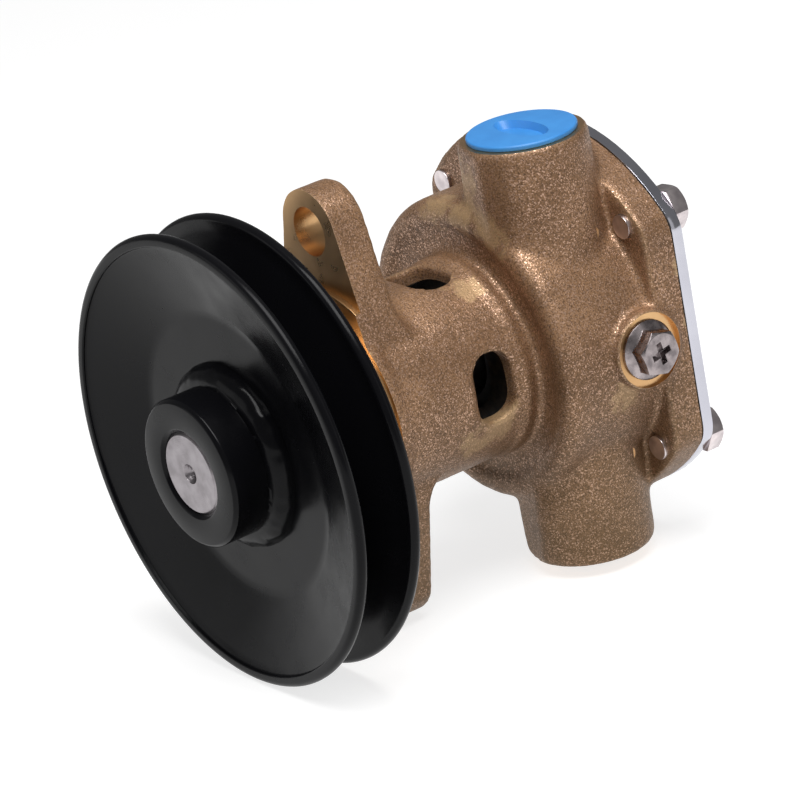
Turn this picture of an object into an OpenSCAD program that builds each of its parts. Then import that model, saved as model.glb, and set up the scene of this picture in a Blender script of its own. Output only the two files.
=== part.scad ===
// Belt-driven flexible impeller pump: bronze body on two ears, pressed pulley, rubber impeller.
// The shaft lies along Y, the ports along Z and the cam on the +X side.
// The origin is on the shaft axis, in the plane of the ears' machined face.

/* [Pulley] */
// Outside diameter of the pulley
pulley_d = 110; // [106:1:120]
// Width over the two rims
pulley_w = 17.6; // [16.6:0.2:22]
// Distance from the ears' face to the rear rim
pulley_gap = 19.6; // [17.6:0.2:30]
// Thickness of the pressed sheet
sheet_t = 2; // [1.6:0.1:2.4]
// Diameter of the flat web, where the groove closes
web_d = 69; // [62:0.5:72]
// Diameter of the rolled bead on each rim
rim_bead_d = 2.8; // [2.4:0.1:3.2]
// Diameter of the welded hub
hub_d = 36; // [34:0.5:42]
// How far the hub stands out in front of the front rim
hub_lead = 6.9; // [4:0.1:9]
// Length of the hub
hub_len = 28; // [26:0.5:29]
// Leg length of the weld between hub and web
weld_leg = 4.6; // [3:0.1:5.2]

/* [Shaft] */
// Diameter of the shaft under the pulley and the bearings
shaft_d = 20; // [19:0.5:21]
// Diameter of the shaft in the seal and the impeller
wet_shaft_d = 16; // [14:0.5:17]
// Diameter of the collar that stops the rear bearing
collar_d = 24; // [23:0.5:26]
// Depth of the shaft's end below the hub's face
shaft_sink = 0.4; // [0.1:0.1:1]
// Width of the pulley's key
key_w = 6; // [5:0.5:6]
// Length of the pulley's key
key_len = 20; // [14:1:22]
// Diameter of the pin that drives the impeller
drive_pin_d = 4; // [3:0.5:5]

/* [Mounting ears] */
// Distance between the two ear holes
ear_pitch = 88; // [86:1:94]
// Diameter of the ear holes
ear_hole_d = 12; // [9:0.5:13]
// Radius of the ear's round end
ear_end_r = 10.2; // [9.8:0.1:13]
// Thickness of an ear
ear_t = 9.5; // [8:0.5:12]
// Width of an ear where it leaves the barrel
ear_root_w = 34; // [30:1:38]
// Diameter of the turned register between the ears
register_d = 61; // [58:0.5:62]
// Height of the register
register_h = 1.5; // [1:0.1:2.5]

/* [Barrel] */
// Outside diameter of the bearing barrel
barrel_d = 49; // [48:0.5:52]
// How far the barrel reaches in front of the ears' face
nose_len = 12; // [11.5:0.5:13]
// Distance from the ears' face to the middle of the drain windows
window_y = 27.2; // [26.8:0.2:27.6]
// Size of a drain window along the shaft
window_w = 10.6; // [9:0.2:11]
// Size of a drain window around the barrel
window_h = 16.4; // [12:0.2:18]
// Number of drain windows
window_count = 4; // [2:1:4]

/* [Bearings] */
// Outside diameter of a ball bearing
bearing_od = 42; // [41:0.5:42]
// Width of a ball bearing
bearing_w = 12; // [11:0.5:12]
// Length of the spacer between the bearings
spacer_len = 3; // [2:0.5:3.5]
// Diameter of a ball
ball_d = 6.35; // [5.6:0.05:6.5]
// Number of balls in a bearing
ball_count = 9; // [6:1:10]

/* [Pump chamber] */
// Bore of the pump chamber
chamber_d = 65; // [60:0.5:66]
// Depth of the pump chamber behind the cover
chamber_depth = 31; // [28:0.5:32]
// Outside diameter of the chamber casting
casing_d = 75.6; // [75:0.2:77]
// How far the chamber casting sits off the shaft axis, away from the cam
casing_shift = 1.5; // [0.5:0.1:2]
// Distance from the ears' face to the cover's seat
seat_y = 74; // [73:0.5:80]
// Height of the cam above the chamber wall
cam_lift = 5.5; // [3:0.5:7]
// Number of impeller blades
blade_count = 8; // [6:1:9]
// Thickness of a blade at its root
blade_t = 3.4; // [2.5:0.1:4]

/* [Flange and cover] */
// Width of the flange and the cover
flange_w = 83.4; // [82:0.2:86]
// Height of the flange and the cover
flange_h = 94; // [91:0.5:97]
// Radius of the long curves at the top and the bottom
crown_r = 53; // [50:0.5:58]
// Radius of the corners
corner_r = 8; // [6:0.5:9]
// How far the flange's centre sits off the shaft axis, away from the cam
flange_shift = 4.5; // [4:0.1:5]
// Thickness of the flange
flange_t = 8.2; // [7:0.1:10]
// Thickness of the cover
cover_t = 3; // [2.5:0.1:5]
// Thickness of the gasket
gasket_t = 0.4; // [0.3:0.1:1]
// Spacing of the cover bolts across the ports
bolt_pitch_x = 69.6; // [68:0.2:71]
// Spacing of the cover bolts along the ports
bolt_pitch_z = 55.8; // [54:0.2:58]
// Thread diameter of the cover bolts and the cam screw
bolt_d = 6; // [5:0.5:6]

/* [Ports] */
// Distance of a port's face from the shaft axis
port_reach = 52; // [50:0.5:58]
// Offset of the ports from the shaft axis, towards the cam
port_x = 12.6; // [12:0.2:14]
// Distance from the ears' face to the port axis
port_y = 54.4; // [54:0.2:56]
// Outside diameter of a port boss at its face
port_boss_d = 30.8; // [28:0.2:32]
// Bore of a port, at the crests of its thread
port_bore_d = 18.6; // [15:0.2:20]
// Depth of the threaded part of a port
port_thread_len = 15; // [12:0.5:16]
// Bore of the passage behind the thread
port_passage_d = 15.5; // [12:0.5:17]
// Diameter of the port cap's rim
cap_d = 26.4; // [24:0.1:27]
// Thickness of the port cap's rim
cap_rim_t = 1.3; // [1.2:0.1:3]

/* [Hidden] */

// Smoothness of large and small circles
$fn = 96;
small_fn = 48;

// Shared clearances and one overrun for every cut
running_gap = 0.05;
seat_gap = 0.02;
free_gap = 0.3;
overrun = 1;

// Halves of the driving sizes
pulley_r = pulley_d / 2;
web_r = web_d / 2;
bead_r = rim_bead_d / 2;
hub_r = hub_d / 2;
shaft_r = shaft_d / 2;
wet_r = wet_shaft_d / 2;
barrel_r = barrel_d / 2;
bearing_r = bearing_od / 2;
chamber_r = chamber_d / 2;
casing_r = casing_d / 2;
boss_r = port_boss_d / 2;
port_r = port_bore_d / 2;
bolt_r = bolt_d / 2;

// Places along the shaft
pulley_rear_y = -pulley_gap;
pulley_front_y = pulley_rear_y - pulley_w;
pulley_mid_y = pulley_rear_y - pulley_w / 2;
hub_face_y = pulley_front_y - hub_lead;
hub_rear_y = hub_face_y + hub_len;
shaft_front_y = hub_face_y + shaft_sink;
circlip_t = 1.6;
circlip_y = circlip_t - nose_len;
front_bearing_y = circlip_y + circlip_t + running_gap;
spacer_y = front_bearing_y + bearing_w;
rear_bearing_y = spacer_y + spacer_len;
shoulder_y = rear_bearing_y + bearing_w;
chamber_y = seat_y - chamber_depth;
wear_t = 0.8;
cover_y = seat_y + gasket_t;
flange_y = seat_y - flange_t;

// Barrel, window cavity and seal seat
nose_chamfer = 1;
cavity_r = 17.5;
cavity_wall = 1.4;
seal_seat_r = 14;
seal_len = 7;
seal_y = chamber_y - seal_len - wear_t;
window_corner_share = 0.4;
window_corner_r = window_w * window_corner_share;
window_pad_rim = 1.6;
window_pad_depth = 0.7;

// Casting profile in front of the chamber
neck_y = window_y + window_w / 2 + window_pad_rim;
crest_r = 4;
crest_lead = 4.5;
front_wall = 3.2;
crest_front_y = chamber_y - crest_lead;
front_wall_y = chamber_y - front_wall;
crest_inner_r = casing_r - crest_r;
neck_fillet_r = 2;
neck_lip_len = front_wall_y - neck_fillet_r - free_gap - neck_y;
neck_lip_share = 0.65;
neck_lip_r = neck_lip_len * neck_lip_share;
neck_lip_angle = asin(neck_lip_len / neck_lip_r / 2);

// Turns a shape drawn around Z so that it lies around Y; its own y becomes -Z
module along_y(y0) {
    translate([0, y0, 0]) rotate([-90, 0, 0]) children();
}

// Turns a profile of [radius, distance along the shaft] points into a round solid
module turned(points) {
    along_y(0) rotate_extrude() polygon(points);
}

// A straight tube or disc on the shaft axis
module ring(outer_r, inner_r, y0, len) {
    along_y(y0) difference() {
        cylinder(r = outer_r, h = len);
        if (inner_r > 0)
            translate([0, 0, -overrun]) cylinder(r = inner_r, h = len + 2 * overrun);
    }
}

// Points on an arc, from one angle to another
function arc_points(cx, cy, r, a0, a1, steps) =
    [for (i = [0 : steps]) [cx + r * cos(a0 + (a1 - a0) * i / steps),
                            cy + r * sin(a0 + (a1 - a0) * i / steps)]];

// Flange outline: straight sides, long curves at the top and bottom, round corners
crown_drop = crown_r - flange_h / 2;
corner_x = flange_w / 2 - corner_r;
corner_z = sqrt(pow(crown_r - corner_r, 2) - pow(corner_x, 2)) - crown_drop;
corner_angle = atan2(corner_z + crown_drop, corner_x);
crown_steps = 24;
corner_steps = 10;

function half_outline(inset) =
    let (step = (180 - 2 * corner_angle) / crown_steps)
    concat(
        arc_points(corner_x, corner_z, corner_r - inset, 0, corner_angle, corner_steps),
        arc_points(0, -crown_drop, crown_r - inset, corner_angle + step,
            180 - corner_angle - step, crown_steps - 2),
        arc_points(-corner_x, corner_z, corner_r - inset, 180 - corner_angle, 180,
            corner_steps));

module flange_outline(inset) {
    upper = half_outline(inset);
    translate([-flange_shift, 0]) polygon(concat(upper, -upper));
}

module at_bolts() {
    for (sx = [-1, 1], sz = [-1, 1])
        translate([-flange_shift + sx * bolt_pitch_x / 2, 0, sz * bolt_pitch_z / 2]) children();
}

// Ear outline: a round end with straight sides that widen to the root
ear_z = ear_pitch / 2;
ear_root_share = 0.75;
ear_root_z = barrel_r * ear_root_share;
ear_side_run = sqrt(pow(ear_root_w / 2, 2) + pow(ear_z - ear_root_z, 2));
ear_side_angle = asin(ear_end_r / ear_side_run)
    - atan2(ear_root_w / 2, ear_z - ear_root_z);

module ear_outline() {
    touch_x = ear_end_r * cos(ear_side_angle);
    touch_z = ear_z - ear_end_r * sin(ear_side_angle);
    translate([0, ear_z]) circle(r = ear_end_r);
    polygon([[-ear_root_w / 2, ear_root_z], [ear_root_w / 2, ear_root_z],
             [touch_x, touch_z], [-touch_x, touch_z]]);
    translate([-ear_root_w / 2, 0]) square([ear_root_w, ear_root_z]);
}

// Both ears with their fillets to the barrel and the turned register between them
ear_fillet_r = 4;
fillet_steps = 8;

module ears() {
    difference() {
        for (side = [0, 1]) rotate([0, 180 * side, 0]) {
            translate([0, ear_t, 0]) rotate([90, 0, 0])
                linear_extrude(ear_t + register_h) ear_outline();
            intersection() {
                translate([0, ear_t + ear_fillet_r, 0]) rotate([90, 0, 0])
                    linear_extrude(ear_t + ear_fillet_r) ear_outline();
                turned(concat(
                    [[0, ear_t - overrun], [barrel_r + ear_fillet_r, ear_t - overrun]],
                    arc_points(barrel_r + ear_fillet_r, ear_t + ear_fillet_r, ear_fillet_r,
                        -90, -180, fillet_steps),
                    [[0, ear_t + ear_fillet_r]]));
            }
        }
        along_y(-register_h - overrun) difference() {
            cylinder(r = ear_pitch, h = register_h + overrun);
            cylinder(r = register_d / 2, h = register_h + overrun);
        }
    }
}

// Turned outside of the barrel, with its soft lip and the fillet to the chamber's front wall
module barrel_outside() {
    turned(concat(
        [[0, -nose_len], [barrel_r - nose_chamfer, -nose_len],
         [barrel_r, nose_chamfer - nose_len]],
        arc_points(barrel_r - neck_lip_r * cos(neck_lip_angle), neck_y + neck_lip_len / 2,
            neck_lip_r, -neck_lip_angle, neck_lip_angle, fillet_steps),
        arc_points(barrel_r + neck_fillet_r, front_wall_y - neck_fillet_r, neck_fillet_r,
            180, 90, fillet_steps),
        [[crest_inner_r, front_wall_y], [crest_inner_r, chamber_y], [0, chamber_y]]));
}

// Chamber casting with the rounded crest, set off the shaft axis away from the cam
module casing_outside() {
    crest_y = crest_front_y + crest_r;
    crest_start = 180 + asin((crest_y - front_wall_y) / crest_r);
    translate([-casing_shift, 0, 0]) turned(concat(
        [[0, front_wall_y + overrun], [crest_inner_r - crest_r, front_wall_y + overrun]],
        arc_points(crest_inner_r, crest_y, crest_r, crest_start, 360, 2 * fillet_steps),
        [[casing_r, seat_y - overrun], [0, seat_y - overrun]]));
}

// A port's boss: drafted, rounded at its face and flatter on the side away from the cam
boss_draft_share = 0.03;
boss_edge_r = 2;
boss_flat_turn = -104;
boss_flat_share = 0.95;

module port_boss(side) {
    difference() {
        translate([port_x, port_y, 0]) mirror([0, 0, side < 0 ? 1 : 0]) difference() {
            rotate_extrude() polygon(concat(
                [[0, 0], [boss_r + port_reach * boss_draft_share, 0]],
                arc_points(boss_r - boss_edge_r, port_reach - boss_edge_r, boss_edge_r, 0, 90,
                    fillet_steps),
                [[0, port_reach]]));
            rotate([0, 0, boss_flat_turn]) translate([boss_r * boss_flat_share, -boss_r, 0])
                cube([boss_r, port_boss_d, port_reach + overrun]);
        }
        // nothing of the boss stands in front of the chamber's front wall
        translate([-casing_shift, 0, 0]) along_y(0) cylinder(r = crest_inner_r, h = front_wall_y);
    }
}

// Round boss and flat seat for the cam screw
screw_y = 61.5;
screw_seat_x = 37.6;
screw_boss_r = 9.6;

module screw_boss() {
    translate([chamber_r, screw_y, 0]) rotate([0, 90, 0])
        cylinder(r = screw_boss_r, h = screw_seat_x - chamber_r);
}

// Drain windows through the barrel, each with a shallow pad around it
module window_slot(w, h, corner, r0, r1) {
    translate([r0, window_y, 0]) rotate([0, 90, 0]) linear_extrude(r1 - r0) {
        square([h - 2 * corner, w], center = true);
        square([h, w - 2 * corner], center = true);
        for (sx = [-1, 1], sy = [-1, 1])
            translate([sx * (h / 2 - corner), sy * (w / 2 - corner)]) circle(r = corner);
    }
}

module windows() {
    pad_w = window_w + 2 * window_pad_rim;
    pad_h = window_h + 2 * window_pad_rim;
    for (i = [0 : window_count - 1]) rotate([0, 360 / window_count * i, 0]) {
        window_slot(window_w, window_h, window_corner_r, shaft_r, barrel_r + overrun);
        window_slot(pad_w, pad_h, window_corner_r + window_pad_rim,
            barrel_r - window_pad_depth, barrel_r + overrun);
    }
}

module pump_body() {
    color("#8f6f45") difference() {
        union() {
            barrel_outside();
            ears();
            casing_outside();
            along_y(flange_y) linear_extrude(flange_t) flange_outline(0);
            for (side = [-1, 1]) port_boss(side);
            screw_boss();
        }
        // bearing bore, window cavity, seal seat and pump chamber on the shaft axis
        along_y(-nose_len - overrun)
            cylinder(r = bearing_r, h = nose_len + shoulder_y + overrun);
        along_y(shoulder_y - overrun) cylinder(r = cavity_r,
            h = seal_y - cavity_wall - shoulder_y + overrun);
        along_y(seal_y - cavity_wall - overrun)
            cylinder(r = seal_seat_r - cavity_wall, h = 2 * overrun + cavity_wall);
        along_y(seal_y) cylinder(r = seal_seat_r, h = seal_len + wear_t + overrun);
        along_y(chamber_y) cylinder(r = chamber_r, h = chamber_depth + overrun);
        // groove of the circlip in the nose
        along_y(circlip_y) cylinder(r = bearing_r + circlip_t / 2, h = circlip_t + running_gap);
        windows();
        // ports: the threaded mouth and the narrower passage to the chamber
        for (side = [0, 1]) mirror([0, 0, side]) translate([port_x, port_y, 0]) {
            translate([0, 0, port_reach - port_thread_len])
                cylinder(r = port_r, h = port_thread_len + overrun);
            translate([0, 0, chamber_r / 2])
                cylinder(d = port_passage_d, h = port_reach - chamber_r / 2);
        }
        // cover bolts and cam screw
        at_bolts() along_y(flange_y - overrun) cylinder(r = bolt_r, h = flange_t + 2 * overrun);
        translate([chamber_r / 2, screw_y, 0]) rotate([0, 90, 0])
            cylinder(r = bolt_r, h = chamber_r);
        translate([screw_seat_x, screw_y, 0]) rotate([0, 90, 0])
            cylinder(r = screw_boss_r, h = casing_r);
        // ear holes
        for (side = [-1, 1]) translate([0, 0, side * ear_z])
            along_y(-register_h - overrun)
                cylinder(d = ear_hole_d, h = ear_t + register_h + 2 * overrun);
    }
}

module cover_plate() {
    color("#c9cdd2") difference() {
        along_y(cover_y) linear_extrude(cover_t) flange_outline(0);
        at_bolts() along_y(cover_y - overrun) cylinder(r = bolt_r + free_gap,
            h = cover_t + 2 * overrun);
    }
}

gasket_inset = 0.6;

module cover_gasket() {
    color("#3b3a36") difference() {
        along_y(seat_y) linear_extrude(gasket_t) flange_outline(gasket_inset);
        along_y(seat_y - overrun) cylinder(r = chamber_r, h = gasket_t + 2 * overrun);
        at_bolts() along_y(seat_y - overrun) cylinder(r = bolt_r + free_gap,
            h = gasket_t + 2 * overrun);
    }
}

// Hexagon head with a chamfered crown, standing along +Z on z = 0
head_flats_share = 1.667;
head_h_share = 0.7;
head_corner_share = 0.6;
head_crown_share = 0.48;
head_bevel_share = 0.08;
head_flats = bolt_d * head_flats_share;
head_h = bolt_d * head_h_share;

module hex_head(h) {
    corner_r = head_flats * head_corner_share;
    intersection() {
        cylinder(r = head_flats / 2 / cos(30), h = h, $fn = 6);
        rotate_extrude($fn = small_fn) polygon([[0, 0], [corner_r, 0],
            [corner_r, h - head_flats * head_bevel_share],
            [head_flats * head_crown_share, h], [0, h]]);
    }
}

bolt_tip_out = 0.8;

module cover_bolts() {
    shank = cover_t + gasket_t + flange_t + bolt_tip_out;
    color("#c4c2c0") at_bolts() along_y(cover_y + cover_t) {
        hex_head(head_h);
        translate([0, 0, -shank]) cylinder(r = bolt_r - seat_gap, h = shank, $fn = small_fn);
    }
}

// Crescent cam on the chamber wall, drawn from the chamber bore and one shallow arc
cam_span = 45;
cam_top_x = chamber_r - cam_lift;
cam_end = [chamber_r * cos(cam_span), chamber_r * sin(cam_span)];
cam_arc_r = (pow(cam_top_x - cam_end[0], 2) + pow(cam_end[1], 2)) / 2 / (cam_top_x - cam_end[0]);
cam_len = chamber_depth - wear_t - 2 * seat_gap;

module cam_plate() {
    color("#a98a52") difference() {
        along_y(chamber_y + wear_t + seat_gap) linear_extrude(cam_len) difference() {
            intersection() {
                circle(r = chamber_r - seat_gap);
                translate([cam_end[0], -cam_end[1]])
                    square([chamber_r, 2 * cam_end[1]]);
            }
            translate([cam_top_x - cam_arc_r, 0]) circle(r = cam_arc_r);
        }
        translate([cam_top_x - overrun, screw_y, 0]) rotate([0, 90, 0])
            cylinder(r = bolt_r, h = cam_lift + 2 * overrun);
    }
}

// Flanged hexagon screw with a cross recess, from the outside into the cam
screw_flange_share = 1.2;
screw_flange_r = bolt_d * screw_flange_share;
screw_flange_edge_t = 0.7;
screw_flange_t = 2;
screw_head_h = 5.4;
screw_head_turn = 15;
cross_w = 1.5;
cross_len = 5.4;
cross_depth = 2;
cross_turn = 12;

module cam_screw() {
    shank = screw_seat_x - cam_top_x - overrun;
    color("#b7b3b0") translate([screw_seat_x, screw_y, 0]) rotate([0, 90, 0]) {
        rotate_extrude($fn = small_fn) polygon([[0, 0], [screw_flange_r, 0],
            [screw_flange_r, screw_flange_edge_t], [head_flats / 2, screw_flange_t],
            [0, screw_flange_t]]);
        difference() {
            rotate([0, 0, screw_head_turn]) hex_head(screw_head_h);
            for (turn = [0, 90]) rotate([0, 0, turn + cross_turn])
                translate([-cross_len / 2, -cross_w / 2, screw_head_h - cross_depth])
                    cube([cross_len, cross_w, cross_depth + overrun]);
        }
        translate([0, 0, -shank]) cylinder(r = bolt_r - seat_gap, h = shank, $fn = small_fn);
    }
}

module wear_plate() {
    color("#b9bcbf") ring(chamber_r - seat_gap, wet_r + free_gap * 2, chamber_y, wear_t);
}

// Lip seal: a cased body with a lip that runs on the shaft
seal_case_t = 1.5;
seal_lip_w = 2.2;

module water_seal() {
    color("#2b2b2b") turned([
        [seal_seat_r - seat_gap, seal_y], [seal_seat_r - seat_gap, chamber_y - wear_t],
        [seal_seat_r - seal_case_t, chamber_y - wear_t],
        [seal_seat_r - seal_case_t, seal_y + seal_case_t],
        [wet_r + seal_lip_w, seal_y + seal_case_t],
        [wet_r + seal_lip_w, seal_y + seal_len - seal_case_t],
        [wet_r + running_gap, seal_y + seal_len / 2 + seal_lip_w / 2],
        [wet_r + running_gap, seal_y + seal_len / 2 - seal_lip_w / 2],
        [wet_r + seal_case_t, seal_y]]);
}

// Ball bearing: rings of equal wall, with a groove that follows the balls
ball_r = ball_d / 2;
pitch_r = (shaft_r + bearing_r) / 2;
groove_r = ball_r + running_gap;
land_share = 0.36;
land_gap = ball_d * land_share;
shield_t = 0.8;
shield_sink = 0.6;

module bearing_outer(y0) {
    color("#c8cacd") difference() {
        ring(bearing_r - seat_gap, pitch_r + land_gap, y0, bearing_w);
        along_y(y0 + bearing_w / 2) rotate_extrude() translate([pitch_r, 0])
            circle(r = groove_r, $fn = small_fn);
    }
}

module bearing_inner(y0) {
    color("#c8cacd") difference() {
        ring(pitch_r - land_gap, shaft_r + seat_gap, y0, bearing_w);
        along_y(y0 + bearing_w / 2) rotate_extrude() translate([pitch_r, 0])
            circle(r = groove_r, $fn = small_fn);
    }
}

cage_wall_share = 0.5;
cage_len_share = 1.3;

module bearing_balls(y0) {
    cage_wall = land_gap * cage_wall_share;
    cage_len = ball_d * cage_len_share;
    color("#b9a15c") difference() {
        ring(pitch_r + cage_wall, pitch_r - cage_wall, y0 + bearing_w / 2 - cage_len / 2,
            cage_len);
        for (i = [0 : ball_count - 1]) rotate([0, 360 / ball_count * i, 0])
            translate([pitch_r - ball_r, y0 + bearing_w / 2, 0]) rotate([0, 90, 0])
                cylinder(r = ball_r + running_gap, h = ball_d, $fn = small_fn);
    }
    color("#d5d7da") for (i = [0 : ball_count - 1]) rotate([0, 360 / ball_count * i, 0])
        translate([pitch_r, y0 + bearing_w / 2, 0]) sphere(r = ball_r, $fn = small_fn);
}

module bearing_shield(y0) {
    color("#222222") ring(pitch_r + land_gap - seat_gap, pitch_r - land_gap + running_gap,
        y0, shield_t);
}

module front_bearing_outer() { bearing_outer(front_bearing_y); }
module front_bearing_inner() { bearing_inner(front_bearing_y); }
module front_bearing_balls() { bearing_balls(front_bearing_y); }
module front_bearing_shield() { bearing_shield(front_bearing_y + shield_sink); }
module rear_bearing_outer() { bearing_outer(rear_bearing_y); }
module rear_bearing_inner() { bearing_inner(rear_bearing_y); }
module rear_bearing_balls() { bearing_balls(rear_bearing_y); }
module rear_bearing_shield() {
    bearing_shield(rear_bearing_y + bearing_w - shield_sink - shield_t);
}

module bearing_spacer() {
    color("#9a9da1") ring(pitch_r - land_gap, shaft_r + seat_gap, spacer_y, spacer_len);
}

// Circlips: open rings with two lugs for the pliers
clip_w = 2.6;
clip_opening = 26;
clip_lug_r = 2.1;
clip_lug_hole_r = 0.8;
clip_lug_turn = 3;
nose_clip_turn = 90;
shaft_clip_turn = -60;

module circlip_shape(outer_r, inner_r, lug_at_r) {
    half = clip_opening / 2;
    reach = 2 * outer_r;
    difference() {
        circle(r = outer_r);
        circle(r = inner_r);
        polygon([[0, 0], [reach, reach * tan(half)], [reach, -reach * tan(half)]]);
    }
    for (side = [-1, 1]) rotate([0, 0, side * (half + clip_lug_turn)])
        translate([lug_at_r, 0]) difference() {
            circle(r = clip_lug_r, $fn = small_fn);
            circle(r = clip_lug_hole_r, $fn = small_fn);
        }
}

module nose_circlip() {
    groove_bottom = bearing_r + circlip_t / 2;
    color("#4a4d51") along_y(circlip_y + running_gap / 2) rotate([0, 0, nose_clip_turn])
        linear_extrude(circlip_t) circlip_shape(groove_bottom - seat_gap,
            groove_bottom - clip_w, groove_bottom - clip_w);
}

shaft_groove_depth = 1;
shaft_clip_y = front_bearing_y - circlip_t - seat_gap;

module shaft_circlip() {
    groove_bottom = shaft_r - shaft_groove_depth;
    color("#4a4d51") along_y(shaft_clip_y) rotate([0, 0, shaft_clip_turn])
        linear_extrude(circlip_t) circlip_shape(groove_bottom + clip_w, groove_bottom + seat_gap,
            groove_bottom + clip_w);
}

// Rubber ring that throws leaking water out through the windows
slinger_r = 13.6;
slinger_t = 3;

module slinger() {
    color("#20262a") turned([
        [wet_r + seat_gap, window_y - slinger_t], [wet_r + slinger_t, window_y - slinger_t],
        [wet_r + slinger_t, window_y - slinger_t / 2], [slinger_r, window_y - slinger_t / 4],
        [slinger_r, window_y + slinger_t / 4], [wet_r + slinger_t, window_y + slinger_t / 2],
        [wet_r + slinger_t, window_y + slinger_t], [wet_r + seat_gap, window_y + slinger_t]]);
}

// Shaft with the collar behind the rear bearing, keyway, circlip groove and centre hole
collar_len = 1.6;
end_chamfer = 0.6;
impeller_len = chamber_depth - wear_t - 2 * free_gap;
impeller_y = chamber_y + wear_t + free_gap;
shaft_end_y = seat_y - 2 * free_gap;
centre_hole_r = 2.1;
centre_hole_depth = 5;
key_y = hub_face_y + (hub_len - key_len) / 2 + shaft_sink;
key_sink_share = 0.58;
key_sink = key_w * key_sink_share;
drive_pin_y = impeller_y + impeller_len / 2;
bush_r = 12.5;

module pin_hole(r, len) {
    translate([0, drive_pin_y, -len / 2]) cylinder(r = r, h = len, $fn = small_fn);
}

module shaft() {
    color("#c7c3c2") difference() {
        turned([
            [0, shaft_front_y], [shaft_r - end_chamfer, shaft_front_y],
            [shaft_r, shaft_front_y + end_chamfer], [shaft_r, shoulder_y],
            [collar_d / 2, shoulder_y], [collar_d / 2, shoulder_y + collar_len],
            [wet_r, shoulder_y + collar_len], [wet_r, shaft_end_y - end_chamfer],
            [wet_r - end_chamfer, shaft_end_y], [0, shaft_end_y]]);
        turned([[0, shaft_front_y - overrun], [centre_hole_r + overrun, shaft_front_y - overrun],
            [centre_hole_r / 2, shaft_front_y + centre_hole_r],
            [centre_hole_r / 2, shaft_front_y + centre_hole_depth],
            [0, shaft_front_y + centre_hole_depth + centre_hole_r / 2]]);
        translate([-key_w / 2, key_y, shaft_r - key_sink]) cube([key_w, key_len, key_w]);
        ring(shaft_r + overrun, shaft_r - shaft_groove_depth, shaft_clip_y - seat_gap,
            circlip_t + 2 * seat_gap);
        pin_hole(drive_pin_d / 2, 2 * wet_r + 2 * overrun);
    }
}

module pulley_key() {
    color("#8d9094") translate([seat_gap - key_w / 2, key_y + seat_gap,
        shaft_r - key_sink + seat_gap])
        cube([key_w - 2 * seat_gap, key_len - 2 * seat_gap, key_w - 2 * seat_gap]);
}

module drive_pin() {
    color("#c7c3c2") pin_hole(drive_pin_d / 2 - seat_gap, 2 * bush_r - 2 * free_gap);
}

// One pressed disc: flat web, cone and rolled rim; the other disc is its mirror image
module pressed_disc() {
    bead_x = pulley_r - bead_r;
    bead_y = pulley_w / 2 - bead_r;
    slope = atan2(bead_y - sheet_t, bead_x - web_r);
    skin = sheet_t / cos(slope);
    rotate_extrude() {
        polygon([[hub_r + seat_gap, 0], [web_r, 0], [bead_x, bead_y - skin / 2],
            [bead_x, bead_y + skin / 2], [web_r - tan(slope) * sheet_t / 2, sheet_t],
            [hub_r + seat_gap, sheet_t]]);
        translate([bead_x, bead_y]) circle(r = bead_r, $fn = small_fn);
    }
}

module pulley_front_disc() {
    color("#17171a") along_y(pulley_mid_y) mirror([0, 0, 1]) pressed_disc();
}

module pulley_rear_disc() {
    color("#17171a") along_y(pulley_mid_y) pressed_disc();
}

hub_chamfer = 0.8;
bore_chamfer = 1;

module pulley_hub() {
    color("#17171a") difference() {
        turned([
            [shaft_r + bore_chamfer, hub_face_y], [hub_r - hub_chamfer, hub_face_y],
            [hub_r, hub_face_y + hub_chamfer], [hub_r, hub_rear_y - hub_chamfer],
            [hub_r - hub_chamfer, hub_rear_y], [shaft_r + bore_chamfer, hub_rear_y],
            [shaft_r + seat_gap, hub_rear_y - bore_chamfer],
            [shaft_r + seat_gap, hub_face_y + bore_chamfer]]);
        translate([-key_w / 2, key_y, 0])
            cube([key_w, hub_len, shaft_r - key_sink + key_w]);
    }
}

// Fillet welds that join the hub to the web, in front and behind
module pulley_welds() {
    color("#141417") for (side = [-1, 1]) {
        web_face_y = pulley_mid_y + side * sheet_t;
        turned(concat([[hub_r + seat_gap, web_face_y]],
            arc_points(hub_r + seat_gap, web_face_y + side * seat_gap, weld_leg,
                0, side * 90, 10)));
    }
}

// Impeller: each blade keeps its length and bends until its tip fits inside the chamber
rubber_hub_r = 17;
tip_r = 2.3;
tip_gap = 0.2;
blade_steps = 8;
bent_reach = chamber_r - tip_gap - tip_r;
blade_len = bent_reach - rubber_hub_r;
blade_taper_share = 0.25;
solver_steps = 14;
max_bend = 150;

function blade_point(root_angle, bend, s, steps) =
    s == 0 ? rubber_hub_r * [cos(root_angle), sin(root_angle)]
    : blade_point(root_angle, bend, s - 1, steps)
        + blade_len / steps * [cos(root_angle + bend * (s - 0.5) / steps),
                               sin(root_angle + bend * (s - 0.5) / steps)];
function room_at(p) = min(chamber_r - norm(p),
    p[0] > 0 ? cam_arc_r - norm(p - [cam_top_x - cam_arc_r, 0]) : chamber_r);
function blade_room(root_angle, bend) = min([for (s = [1 : blade_steps])
    room_at(blade_point(root_angle, bend, s, blade_steps))
        - (s == blade_steps ? tip_r : blade_t / 2) - tip_gap]);
function solved_bend(root_angle, low, high, steps) =
    steps == 0 ? high
    : blade_room(root_angle, (low + high) / 2) < 0
        ? solved_bend(root_angle, (low + high) / 2, high, steps - 1)
        : solved_bend(root_angle, low, (low + high) / 2, steps - 1);

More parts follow.
